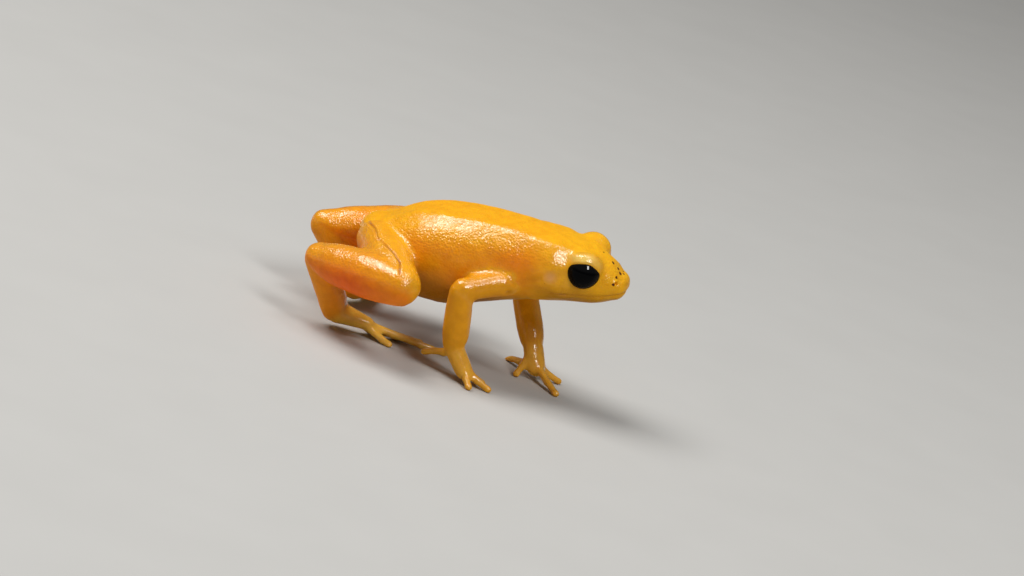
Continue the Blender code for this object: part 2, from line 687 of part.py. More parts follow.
def build_head_and_torso(body, frog):
    """Part the whole body at the neck and along the mouth, and set the eyes in."""
    neck = posed(Vector((NECK_FROM_SNOUT - HALF_GAP, 0, NECK_HEIGHT)))
    ahead = Vector((math.cos(NECK_LEAN), 0, math.sin(NECK_LEAN)))
    add_part("torso", trimmed(body, neck, ahead), BODY_ORANGE, SKIN_ROUGHNESS, frog)
    skull = skull_mesh(body)
    below = prism_mesh(mouth_outline(HALF_GAP, BELOW_HEAD), MOUTH_HALF_DEPTH, "below")
    above = prism_mesh(mouth_outline(-HALF_GAP, ABOVE_HEAD), MOUTH_HALF_DEPTH, "above")
    add_part("head", combined(skull.copy(), [below], "DIFFERENCE"), HEAD_ORANGE,
             SKIN_ROUGHNESS, frog)
    add_part("lower_jaw", combined(skull, [above], "DIFFERENCE"), JAW_YELLOW,
             SKIN_ROUGHNESS, frog)
    for side, name in ((1, "eye_left"), (-1, "eye_right")):
        centre = posed(mirrored(EYE_CENTRE, side))
        add_part(name, ball_mesh(centre, EYE_RADIUS, EYE_SIDES, name), EYE_BLACK,
                 EYE_ROUGHNESS, frog)


def main():
    """Clear the file, then build every part of the frog."""
    for item in list(bpy.data.objects):
        bpy.data.objects.remove(item)
    frog = bpy.data.collections.new("golden_mantella")
    bpy.context.scene.collection.children.link(frog)
    body = body_mesh()
    build_head_and_torso(body, frog)
    for limb in (RIGHT_ARM, LEFT_ARM, RIGHT_LEG, LEFT_LEG):
        limb.build(swollen(body, GAP), frog)


main()
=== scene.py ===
"""Golden mantella: the finished wet skin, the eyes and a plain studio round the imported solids.

The frog looks along +X, its left side is +Y and up is +Z.  The skin is shaped in
millimetres and the finished meshes are in metres.
"""

import logging
import math
from dataclasses import dataclass, field
from enum import Enum

import bpy
import numpy as np
from mathutils import Matrix, Vector, noise
from mathutils.bvhtree import BVHTree


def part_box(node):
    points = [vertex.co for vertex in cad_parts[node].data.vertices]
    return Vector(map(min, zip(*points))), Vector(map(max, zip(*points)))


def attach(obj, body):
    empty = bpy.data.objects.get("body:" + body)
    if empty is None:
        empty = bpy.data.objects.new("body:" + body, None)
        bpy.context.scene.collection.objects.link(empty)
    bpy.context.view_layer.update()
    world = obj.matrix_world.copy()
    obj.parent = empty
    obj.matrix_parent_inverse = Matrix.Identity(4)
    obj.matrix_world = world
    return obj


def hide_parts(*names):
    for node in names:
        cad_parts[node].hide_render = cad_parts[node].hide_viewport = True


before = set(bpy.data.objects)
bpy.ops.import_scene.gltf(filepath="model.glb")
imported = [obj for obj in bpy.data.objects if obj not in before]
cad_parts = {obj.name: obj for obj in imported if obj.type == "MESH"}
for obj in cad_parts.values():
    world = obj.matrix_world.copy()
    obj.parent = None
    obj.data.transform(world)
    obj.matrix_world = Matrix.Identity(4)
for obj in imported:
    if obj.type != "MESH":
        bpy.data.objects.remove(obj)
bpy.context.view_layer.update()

log = logging.getLogger("golden_mantella")

MM = 0.001
ROOT_BODY = "root"
IMAGE_WIDTH = 1024
IMAGE_HEIGHT = 576

Array = np.ndarray
Piece = bpy.types.Object
Colour = tuple[float, float, float]
Triple = tuple[float, float, float]
Pair = tuple[float, float]


class Side(Enum):
    """Which side of the frog a piece belongs to, as the sign of its Y."""

    LEFT = 1
    RIGHT = -1


class Slot(Enum):
    """Material slots of the part's record."""

    SKIN = "orange_skin"
    EYE = "eye"


@dataclass(frozen=True)
class Ease:
    """A smooth passage from the least share at low to the most at high, in either direction."""

    low: float
    high: float
    least: float = 0.0
    most: float = 1.0

    def __call__(self, values: Array) -> Array:
        """Ease values along the passage.

        Args:
            values: Values to ease.

        Returns:
            The eased shares.
        """
        share = np.clip((values - self.low) / (self.high - self.low), 0.0, 1.0)
        return self.least + (self.most - self.least) * share * share * (3 - 2 * share)


def bell(distance: Array, width: float) -> Array:
    """A smooth bump of height 1 that falls away over a width."""
    return np.exp(-(distance / width) ** 2)


def unit(vectors: Array) -> Array:
    """Vectors scaled to length 1 along their last axis."""
    return vectors / np.maximum(np.linalg.norm(vectors, axis=-1, keepdims=True), 1e-9)


def distance_from(points: Array, place: Triple | Array) -> Array:
    """How far each point lies from one place."""
    return np.linalg.norm(points - np.array(place), axis=1)


def deselect_everything() -> None:
    """Leave object mode with nothing selected, so that operators act on new pieces alone."""
    if bpy.context.mode != "OBJECT":
        bpy.ops.object.mode_set(mode="OBJECT")
    bpy.ops.object.select_all(action="DESELECT")


def make_active(piece: Piece) -> None:
    """Select one object alone and make it the active one."""
    deselect_everything()
    piece.select_set(True)
    bpy.context.view_layer.objects.active = piece


def apply_modifier(piece: Piece, kind: str, **settings: object) -> None:
    """Add a modifier to a piece and apply it at once.

    Args:
        piece: The object to change.
        kind: The modifier's type.
        **settings: Values of the modifier.
    """
    make_active(piece)
    modifier = piece.modifiers.new(kind.lower(), kind)
    for name, value in settings.items():
        setattr(modifier, name, value)
    bpy.ops.object.modifier_apply(modifier=modifier.name)


def read_rows(items: bpy.types.bpy_prop_collection, name: str, width: int,
              kind: type = float) -> Array:
    """One value of every item of a mesh, in rows of this width."""
    values = np.empty(len(items) * width, dtype=kind)
    items.foreach_get(name, values)
    return values.reshape(-1, width)


def points_of(piece: Piece) -> Array:
    """The vertices of a piece as rows of x, y and z."""
    return read_rows(piece.data.vertices, "co", 3)


def set_points(piece: Piece, points: Array) -> None:
    """Put the vertices of a piece at these places."""
    piece.data.vertices.foreach_set("co", points.ravel())
    piece.data.update()


def normals_of(piece: Piece) -> Array:
    """The vertex normals of a piece."""
    return read_rows(piece.data.vertex_normals, "vector", 3)


def edges_of(piece: Piece) -> Array:
    """The edges of a piece as pairs of vertex numbers."""
    return read_rows(piece.data.edges, "vertices", 2, np.int64)


def add_mask(piece: Piece, name: str, values: Array) -> None:
    """Store shares between 0 and 1 as a float attribute of a piece."""
    attribute = piece.data.attributes.new(name, "FLOAT", "POINT")
    attribute.data.foreach_set("value", np.clip(values, 0.0, 1.0))


def spread(values: Array, edges: Array, rounds: int) -> Array:
    """Soften values over a mesh by averaging each with its neighbours.

    Args:
        values: One row for each vertex.
        edges: Pairs of vertex numbers.
        rounds: How many times to average.

    Returns:
        The softened values.
    """
    count = len(values)
    ends = np.concatenate([edges[:, 0], edges[:, 1]])
    others = np.concatenate([edges[:, 1], edges[:, 0]])
    degree = np.maximum(np.bincount(ends, minlength=count), 1)
    rows = values.reshape(count, -1)
    for _ in range(rounds):
        totals = np.stack([np.bincount(ends, weights=column[others], minlength=count)
                           for column in rows.T], axis=1)
        rows = 0.5 * rows + 0.5 * totals / degree[:, None]
    return rows.reshape(values.shape)


@dataclass(frozen=True)
class BodyPose:
    """How the level, straight body is turned into its pose, in millimetres.

    In the level body the snout's tip is at x 0 and the floor at z 0.
    """

    middle: Triple = (-14.01, 1.86, 0.0)
    roll: float = math.radians(8)
    roll_height: float = 10.0
    head_turn: float = math.radians(4)
    turn_start: float = -10.0
    turn_end: float = -5.5

    def turn_at(self, along: Array) -> Array:
        """Turn of the head, in radians, at a place along the body."""
        share = (along - self.turn_start) / (self.turn_end - self.turn_start)
        return self.head_turn * np.clip(share, 0.0, 1.0)

    def level(self, points: Array) -> Array:
        """Bring points of the part back to the level, straight body.

        Args:
            points: Rows of x, y and z in the part's frame, in millimetres.

        Returns:
            The same points in the level body's frame.
        """
        moved = points + np.array(self.middle)
        along = moved[:, 0].copy()
        across = moved[:, 1].copy()
        for _ in range(4):
            turn = self.turn_at(along)
            ahead = moved[:, 0] - self.turn_start
            along = self.turn_start + ahead * np.cos(turn) + moved[:, 1] * np.sin(turn)
            across = -ahead * np.sin(turn) + moved[:, 1] * np.cos(turn)
        up = moved[:, 2] - self.roll_height
        cosine, sine = math.cos(self.roll), math.sin(self.roll)
        return np.stack([along, across * cosine + up * sine,
                         up * cosine - across * sine + self.roll_height], axis=1)

    def posed(self, points: Array) -> Array:
        """Bring points of the level body into the part's frame."""
        cosine, sine = math.cos(self.roll), math.sin(self.roll)
        up = points[:, 2] - self.roll_height
        across = points[:, 1] * cosine - up * sine
        height = points[:, 1] * sine + up * cosine + self.roll_height
        turn = self.turn_at(points[:, 0])
        ahead = points[:, 0] - self.turn_start
        along = self.turn_start + ahead * np.cos(turn) - across * np.sin(turn)
        sideways = ahead * np.sin(turn) + across * np.cos(turn)
        return np.stack([along, sideways, height], axis=1) - np.array(self.middle)


POSE = BodyPose()


class Wire:
    """A shader socket on which Python arithmetic adds Math nodes."""

    def __init__(self, tree: "ShaderTree", socket: bpy.types.NodeSocket) -> None:
        """Wrap a socket of a tree."""
        self.tree = tree
        self.socket = socket

    def maths(self, operation: str, *others: "Wire | float") -> "Wire":
        """Add a Math node whose first value is this socket."""
        return self.tree.node("ShaderNodeMath", {"operation": operation},
                              dict(enumerate((self, *others))))

    def __add__(self, other: "Wire | float") -> "Wire":
        """Sum of two values."""
        return self.maths("ADD", other)

    def __mul__(self, other: "Wire | float") -> "Wire":
        """Product of two values."""
        return self.maths("MULTIPLY", other)

    def over(self, low: float, high: float) -> "Wire":
        """Ease from 0 at low to 1 at high."""
        return self.tree.node("ShaderNodeMapRange", {"interpolation_type": "SMOOTHSTEP"},
                              {"Value": self, "From Min": low, "From Max": high})


class ShaderTree:
    """The nodes of one material, made with plain calls."""

    def __init__(self, name: str) -> None:
        """Start a material with an empty tree and an output."""
        self.material = bpy.data.materials.new(name)
        self.material.use_nodes = True
        self.nodes = self.material.node_tree.nodes
        self.links = self.material.node_tree.links
        self.nodes.clear()
        self.output = self.nodes.new("ShaderNodeOutputMaterial")

    def node(self, kind: str, settings: dict[str, object], sockets: dict[object, object],
             out: int | str = 0) -> Wire:
        """Add one node.

        Args:
            kind: The node's type.
            settings: Its own values, set first.
            sockets: Values or wires of its inputs, by name or number.
            out: Which output to return.

        Returns:
            The chosen output.
        """
        made = self.nodes.new(kind)
        for name, value in settings.items():
            setattr(made, name, value)
        for name, value in sockets.items():
            if isinstance(value, Wire):
                self.links.new(value.socket, made.inputs[name])
            else:
                made.inputs[name].default_value = value
        return Wire(self, made.outputs[out])

    def blend(self, share: Wire | float, first: Wire | Colour, second: Wire | Colour,
              way: str = "MIX") -> Wire:
        """Mix two colours by a share."""
        colours = [value if isinstance(value, Wire) else (*value, 1.0) for value in (first, second)]
        return self.node("ShaderNodeMix", {"data_type": "RGBA", "blend_type": way},
                         {0: share, 6: colours[0], 7: colours[1]}, out=2)

    def attribute(self, name: str) -> Wire:
        """A named float attribute of the mesh."""
        return self.node("ShaderNodeAttribute", {"attribute_name": name}, {}, out="Fac")

    def place(self) -> Wire:
        """Object coordinates, in metres."""
        return self.node("ShaderNodeTexCoord", {}, {}, out="Object")

    def grain(self, size: float, detail: float = 2.0, rough: float = 0.5) -> Wire:
        """Soft noise whose grains are about this many millimetres across."""
        return self.node("ShaderNodeTexNoise", {}, {
            "Vector": self.place(), "Scale": 1.0 / (size * MM), "Detail": detail,
            "Roughness": rough})

    def cells(self, size: float) -> Wire:
        """Distance pattern of round cells about this many millimetres across."""
        return self.node("ShaderNodeTexVoronoi", {}, {
            "Vector": self.place(), "Scale": 1.0 / (size * MM), "Randomness": 1.0},
            out="Distance")

    def bump(self, height: Wire, rise: float, over: Wire | None = None) -> Wire:
        """A bump that rises so many millimetres, on top of another normal."""
        sockets = {"Height": height, "Distance": rise * MM, "Strength": 1.0}
        if over is not None:
            sockets["Normal"] = over
        return self.node("ShaderNodeBump", {}, sockets)

    def principled(self, sockets: dict[str, object]) -> Wire:
        """One Principled shader with these inputs."""
        return self.node("ShaderNodeBsdfPrincipled", {}, sockets)

    def close(self, shader: Wire) -> bpy.types.Material:
        """Send a shader to the material's output."""
        self.links.new(shader.socket, self.output.inputs["Surface"])
        return self.material

    def finish(self, sockets: dict[str, object]) -> bpy.types.Material:
        """Close the tree with one Principled shader."""
        return self.close(self.principled(sockets))


@dataclass(frozen=True)
class SkinFinish:
    """Wet, finely grained skin: yellow orange, redder on the shanks, yellower on hands and feet.

    Each grain has a size and a rise in millimetres.
    """

    back: Colour = (0.90, 0.40, 0.008)
    deep: Colour = (0.92, 0.33, 0.004)
    golden: Colour = (0.88, 0.44, 0.010)
    flush: Colour = (0.94, 0.14, 0.002)
    # painted shade: a dark olive laid low on the flanks, on the belly and under the jaw
    belly_shade: Colour = (0.36, 0.14, 0.004)
    arm: Colour = (0.80, 0.335, 0.005)
    pale: Colour = (0.90, 0.56, 0.09)
    # partly the upper lids' own paler yellow and partly painted sheen, strongest towards the rear
    lid: Colour = (0.90, 0.62, 0.16)
    rosy: Colour = (0.84, 0.40, 0.13)
    # painted shade: a dark red brown laid in the creases and along the line of the mouth
    crease_shade: Colour = (0.34, 0.06, 0.003)
    speck: Colour = (0.10, 0.025, 0.003)
    dust_dark: Colour = (0.92, 0.87, 0.80)
    dust_light: Colour = (1.05, 1.05, 1.0)
    mottle_size: float = 2.6
    dust_size: float = 0.9
    ragged_size: float = 0.16
    roughness: float = 0.5
    index: float = 1.18
    wet_roughness: float = 0.12
    wet_variation: float = 0.10
    wet_index: float = 1.66
    film: float = 0.65
    film_roughness: float = 0.22
    film_index: float = 1.5
    film_size: float = 0.7
    film_range: Pair = (0.34, 0.56)
    film_least: float = 0.6
    glow: float = 0.12
    glow_radius: Colour = (1.0, 0.35, 0.08)
    glow_depth: float = 0.5
    swell: Pair = (0.55, 0.04)
    coarse: Pair = (0.21, 0.05)
    fine: Pair = (0.13, 0.014)
    pores: Pair = (0.06, 0.003)
    fine_least: float = 0.3

    def pigment(self, tree: ShaderTree) -> Wire:
        """Lay the colours over one another by the masks that the mesh carries."""
        mottle = tree.grain(self.mottle_size, 3.0).over(0.35, 0.68)
        base = tree.blend(tree.attribute("flank") * (mottle * 0.5 + 0.5), self.back, self.deep)
        # the belly's mask paints shade low on the body and under the jaw
        # the creases' mask paints shade in the folds and along the mouth
        # the lid's mask is partly the lids' paler colour and partly painted sheen
        for mask in ("golden", "belly_shade", "arm", "flush", "pale", "rosy", "lid", "crease_shade"):
            base = tree.blend(tree.attribute(mask), base, getattr(self, mask))
        ragged = tree.grain(self.ragged_size, 2.0, 0.6) * 0.8 + tree.attribute("speck")
        base = tree.blend(ragged.over(0.75, 1.05), base, self.speck)
        dust = tree.grain(self.dust_size, 3.0, 0.6)
        tone = tree.blend(dust.over(0.25, 0.75), self.dust_dark, self.dust_light)
        return tree.blend(1.0, base, tone, "MULTIPLY")

    def relief(self, tree: ShaderTree) -> Wire:
        """Raise grains of two sizes where the skin is granular, and fine pores all over."""
        amount = tree.attribute("grainy")
        size, rise = self.swell
        normal = tree.bump(tree.grain(size) * amount, rise)
        size, rise = self.coarse
        normal = tree.bump(tree.cells(size) * -1.0 * amount, rise, normal)
        size, rise = self.fine
        fine_amount = amount * (1 - self.fine_least) + self.fine_least
        normal = tree.bump(tree.cells(size) * -1.0 * fine_amount, rise, normal)
        size, rise = self.pores
        return tree.bump(tree.grain(size), rise, normal)

    def material(self) -> bpy.types.Material:
        """Build the skin's material: dry and wet skin, mixed by an uneven film of water."""
        tree = ShaderTree("wet_skin")
        film = tree.grain(self.film_size, 3.0, 0.6)
        common = {"Base Color": self.pigment(tree), "Normal": self.relief(tree),
                  "Subsurface Weight": self.glow, "Subsurface Radius": self.glow_radius,
                  "Subsurface Scale": self.glow_depth * MM}
        dry = tree.principled(common | {"Roughness": self.roughness, "IOR": self.index})
        wet = tree.principled(common | {
            "Roughness": film * self.wet_variation + self.wet_roughness,
            "IOR": self.wet_index, "Coat Weight": self.film,
            "Coat Roughness": self.film_roughness, "Coat IOR": self.film_index})
        cover = film.over(*self.film_range) * (1 - self.film_least) + self.film_least
        share = cover * tree.attribute("wet")
        return tree.close(tree.node("ShaderNodeMixShader", {}, {0: share, 1: dry, 2: wet}))


@dataclass(frozen=True)
class EyeFinish:
    """A wet black eye: a wide pupil in a very dark brown iris."""

    pupil: Colour = (0.0015, 0.0015, 0.002)
    iris: Colour = (0.004, 0.003, 0.002)
    fleck: Colour = (0.010, 0.006, 0.004)
    fleck_size: float = 0.12
    ripple: Pair = (0.9, 0.004)
    gloss_size: float = 0.5
    roughness: float = 0.03
    index: float = 1.12
    tear_index: float = 1.42

    def material(self) -> bpy.types.Material:
        """Build the eye's material from the mask that the eyeball carries."""
        tree = ShaderTree("wet_eye")
        flecks = tree.grain(self.fleck_size, 3.0).over(0.45, 0.75)
        iris = tree.blend(flecks, self.iris, self.fleck)
        colour = tree.blend(tree.attribute("pupil"), iris, self.pupil)
        size, rise = self.ripple
        normal = tree.bump(tree.grain(size, 1.0), rise)
        return tree.finish({
            "Base Color": colour,
            "Roughness": tree.grain(self.gloss_size) * 0.05 + self.roughness,
            "Normal": normal, "Coat Weight": tree.attribute("wet"),
            "Coat Roughness": self.roughness, "Coat IOR": self.tear_index,
            "IOR": self.index})


@dataclass
class Eye:
    """One eyeball and the opening that its lids leave, in the level head's frame."""

    side: Side
    centre: Triple = (-3.92, 2.3, 12.16)
    radius: float = 1.47
    bulge: float = 0.035
    bulge_angle: float = math.radians(42)
    pupil_angle: float = math.radians(40)
    pupil_softness: float = 0.05
    axis: Triple = (0.12, 0.95, 0.28)
    opening_angle: float = math.radians(77)
    corner_softness: float = 0.15
    lid_lift: Triple = (-0.05, -0.30, 0.95)
    upper_range: Ease = Ease(0.15, 0.75)
    wet_range: Ease = Ease(0.28, 0.46)
    lid_planes: tuple[tuple[Triple, float], ...] = (
        ((-0.325, -0.350, 0.878), 0.66),
        ((0.457, -0.376, 0.806), 0.91),
        ((-0.922, -0.381, 0.069), 0.95),
    )

    def mirrored(self, vector: Triple) -> Array:
        """A vector of the left eye, or its twin on the right."""
        return np.array((vector[0], vector[1] * self.side.value, vector[2]))

    def place(self) -> Array:
        """Centre of the eyeball in the part's frame, in millimetres."""
        return POSE.posed(self.mirrored(self.centre)[None, :])[0]

    def reach(self, level_points: Array) -> Array:
        """How far points lie from the eyeball's centre."""
        return distance_from(level_points, self.mirrored(self.centre))

    def outside_opening(self, level_points: Array) -> Array:
        """How far outside the lids' edge points lie, along the eyeball.

        Args:
            level_points: Points in the level body's frame, in millimetres.

        Returns:
            Distances in millimetres, negative within the opening.
        """
        towards = unit(level_points - self.mirrored(self.centre))
        looks = unit(self.mirrored(self.axis))
        ways = [np.arccos(np.clip(towards @ looks, -1, 1)) - self.opening_angle]
        for normal, height in self.lid_planes:
            turned = unit(self.mirrored(normal))
            angle = np.arccos(np.clip(towards @ turned, -1, 1))
            ways.append(math.acos(height / self.radius) - angle)
        total = sum(np.exp(way / self.corner_softness) for way in ways)
        return np.log(total) * self.corner_softness * self.radius

    def upper_share(self, level_points: Array) -> Array:
        """Share of the upper lid, 1 above the eye and 0 below it."""
        towards = unit(level_points - self.mirrored(self.centre))
        return self.upper_range(towards @ unit(self.mirrored(self.lid_lift)))

    def build(self) -> Piece:
        """Model the eyeball with its clear front swelling and dress it."""
        deselect_everything()
        bpy.ops.mesh.primitive_uv_sphere_add(segments=72, ring_count=48, radius=self.radius)
        ball = bpy.context.active_object
        name = "eyeball_" + self.side.name.lower()
        ball.name = name
        ball.data.name = name
        looks = Vector(self.mirrored(self.axis)).normalized()
        ball.data.transform(looks.to_track_quat("Z", "Y").to_matrix().to_4x4())
        points = points_of(ball)
        towards = unit(points)
        angle = np.arccos(np.clip(towards @ np.array(looks), -1, 1))
        swell = self.bulge * Ease(self.bulge_angle, 0.0)(angle)
        level = points + towards * swell[:, None] + self.mirrored(self.centre)
        set_points(ball, POSE.posed(level) * MM)
        edge, soft = self.pupil_angle, self.pupil_softness
        add_mask(ball, "pupil", Ease(edge + soft, edge - soft)(angle))
        add_mask(ball, "wet", self.wet_range(towards[:, 2]))
        ball.data.shade_smooth()
        ball.data.materials.append(EyeFinish().material())
        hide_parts("eye_" + self.side.name.lower())
        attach(ball, ROOT_BODY)
        return ball


@dataclass(frozen=True)
class Tint:
    """Shares of the skin's colours on one length of the body."""

    arm: float = 0.0
    flush: float = 0.0
    pale: float = 0.0
    grainy: float = 1.0
    digit: float = 0.0


TINTS = {
    "torso": Tint(),
    "head": Tint(grainy=0.6),
    "lower_jaw": Tint(grainy=0.35),
    "upper_arm": Tint(arm=1.0, grainy=0.5),
    "forearm": Tint(arm=0.9, grainy=0.4),
    "hand": Tint(arm=0.8, pale=0.35, grainy=0.3, digit=1.0),
    "thigh": Tint(flush=0.08, grainy=0.9),
    "shank": Tint(flush=0.4, grainy=0.8),
    "tarsus": Tint(flush=0.22, grainy=0.6),
    "foot": Tint(pale=0.8, grainy=0.3, digit=1.0),
}


@dataclass(frozen=True)
class Fold:
    """A groove or low welt in the skin, along points from the snout's tip and the floor, with
    painted shade.
    """

    route: tuple[Triple, ...]
    depth: float
    width: float
    # how strongly painted shade darkens the fold
    tint: float = 0.0

    def distance(self, points: Array) -> Array:
        """How far points in the part's frame lie from the fold, in millimetres.

        Args:
            points: Rows of x, y and z.

        Returns:
            The distance to the nearest stretch of the fold, grown past its ends.
        """
        knots = np.array(self.route) - np.array(POSE.middle)
        nearest = np.full(len(points), np.inf)
        for start, end in zip(knots, knots[1:]):
            way = end - start
            share = np.clip((points - start) @ way / (way @ way), 0.0, 1.0)
            away = np.linalg.norm(points - start - share[:, None] * way, axis=1)
            nearest = np.minimum(nearest, away)
        return nearest


# the last number of each fold is its share of painted shade
FOLDS = (
    Fold(((-22.5, -1.9, 9.5), (-21.4, -3.4, 9.5), (-20.7, -4.8, 9.2)), 0.09, 0.09, 0.9),
    Fold(((-20.7, -4.8, 9.2), (-19.8, -5.75, 9.15), (-18.6, -6.9, 9.0), (-17.7, -8.0, 8.7),
          (-17.5, -8.65, 8.55), (-17.2, -9.36, 8.2)), 0.05, 0.085, 0.85),
    Fold(((-21.0, 3.4, 10.1), (-20.1, 5.2, 9.9), (-18.9, 7.0, 9.6)), 0.10, 0.13, 0.4),
    Fold(((-9.1, -4.0, 9.3), (-8.3, -3.6, 9.4), (-7.5, -3.7, 9.9), (-6.8, -3.6, 10.4)),
         0.05, 0.2, 0.1),
    Fold(((-8.9, -4.1, 8.4), (-8.4, -3.6, 8.1), (-8.3, -2.6, 7.6)), 0.08, 0.2, 0.35),
)


@dataclass(frozen=True)
class Swelling:
    """A soft rise of flesh, at a place from the snout's tip and the floor."""

    place: Triple
    rise: float
    width: float


SWELLINGS = (
    Swelling((-23.9, 5.4, 5.3), 0.60, 1.1),
    Swelling((-23.2, -3.4, 1.3), 0.15, 1.1),
    Swelling((-27.6, 3.5, 6.5), 0.25, 1.3),
    Swelling((-25.4, -4.4, 5.8), 0.15, 1.3),
)


@dataclass(frozen=True)
class FaceShape:
    """Sizes of the lids, the mouth, the nostrils and the eardrums, in millimetres.

    The easings of the lids run outwards from their edge unless the name says otherwise.  A
    lip and a rim are each a height, how far off the middle they lie, and a width.
    """

    seat: float = 0.03
    hidden_depth: float = 0.14
    lower_edge: float = 0.04
    upper_gain: float = 0.11
    edge_range: Ease = Ease(-0.06, 0.12)
    crest_range: Ease = Ease(0.06, 0.60, 0.0, 0.12)
    opening_range: Ease = Ease(-0.13, -0.02)
    lower_range: Ease = Ease(1.35, 0.35)
    upper_range: Ease = Ease(1.50, 0.30)
    from_eye_range: Ease = Ease(2.95, 1.85)
    rearward_range: Ease = Ease(-2.6, -3.9, 0.4)
    crown_rounds: int = 30
    crown_range: Ease = Ease(0.75, 1.10)
    crown_from_eye: Ease = Ease(3.6, 3.0)
    mouth_depth: float = 0.06
    mouth_width: float = 0.07
    upper_lip: Triple = (0.03, 0.25, 0.15)
    lower_lip: Triple = (0.025, -0.25, 0.16)
    mouth_height_range: Ease = Ease(6.0, 7.0)
    nostril_depth: float = 0.26
    nostril_width: float = 0.12
    nostril_rim: Triple = (0.05, 0.24, 0.10)
    eardrum_radius: float = 0.62
    eardrum_ring: float = 0.035
    eardrum_ring_width: float = 0.14
    eardrum_dip: float = 0.03
    eardrum_dip_width: float = 0.42


@dataclass(frozen=True)
class Shades:
    """Where each mask of colour begins and is full, and how strong it is.

    Places along, across and of height are in millimetres in the level body's frame, facing
    is a share of the normal, and nearness to an eye is measured from its centre.
    """

    rounds: int = 40
    torso_range: Ease = Ease(0.0, 0.3)
    head_along: Ease = Ease(-8.5, -4.5)
    # painted shade: the skin darkens towards the belly and the chin
    belly_shade_height: Ease = Ease(9.6, 6.8, 0.0, 0.9)
    jaw_shade_height: Ease = Ease(11.4, 9.4, 0.0, 0.8)
    flank_facing: Ease = Ease(0.35, 0.9)
    flank_up: Ease = Ease(0.75, 0.2)
    flank_off_head: float = 0.6
    golden_head: float = 0.75
    golden_up: Ease = Ease(0.3, 0.9, 0.0, 0.35)
    golden_joint: float = 0.7
    golden_joint_width: float = 1.9
    flush_up: Ease = Ease(0.5, -0.4, 0.45, 1.55)
    shank_share: float = 0.5
    shank_width: float = 3.0
    shank_range: Ease = Ease(0.1, 0.4)
    shank_up: Ease = Ease(0.9, -0.2)
    shoulder: Triple = (-9.2, 3.6, 11.4)
    shoulder_share: float = 0.35
    shoulder_width: float = 1.6
    # the pale lid band is partly the lids' own colour and partly painted sheen
    lid_pale_and_sheen_inner: Ease = Ease(-0.1, 0.1)
    lid_pale_and_sheen_outer: Ease = Ease(0.95, 0.25)
    lid_pale_and_sheen_along: Ease = Ease(-2.9, -4.1, 0.55)
    lid_pale_and_sheen_near_eye: Ease = Ease(2.5, 2.1)
    calm_near_eye: Ease = Ease(1.45, 2.1)
    calm_least: float = 0.35
    rosy_range: Ease = Ease(0.75, 0.1, 0.0, 0.8)
    grain_up: Ease = Ease(0.0, 0.45, 0.4)
    # painted shade along the line of the mouth
    mouth_shade_share: float = 0.18
    wet_up: Ease = Ease(-0.05, 0.35, 0.1)
    dryness: float = 0.85
    back_up: Ease = Ease(0.76, 0.93)
    rump_rearward: Ease = Ease(0.2, 0.45)
    rump_up: Ease = Ease(0.3, 0.6)
    crown_across: Ease = Ease(2.6, 2.0)
    crown_up: Ease = Ease(0.85, 0.95)
    snout_along: Ease = Ease(-3.4, -2.4, 0.0, 0.55)


@dataclass(frozen=True)
class Survey:
    """The vertices of the finished skin, how far each faces up and what it belongs to."""

    points: Array
    level: Array
    normals: Array
    up: Array
    arm: Array
    flush: Array
    pale: Array
    grainy: Array
    torso: Array
    head: Array


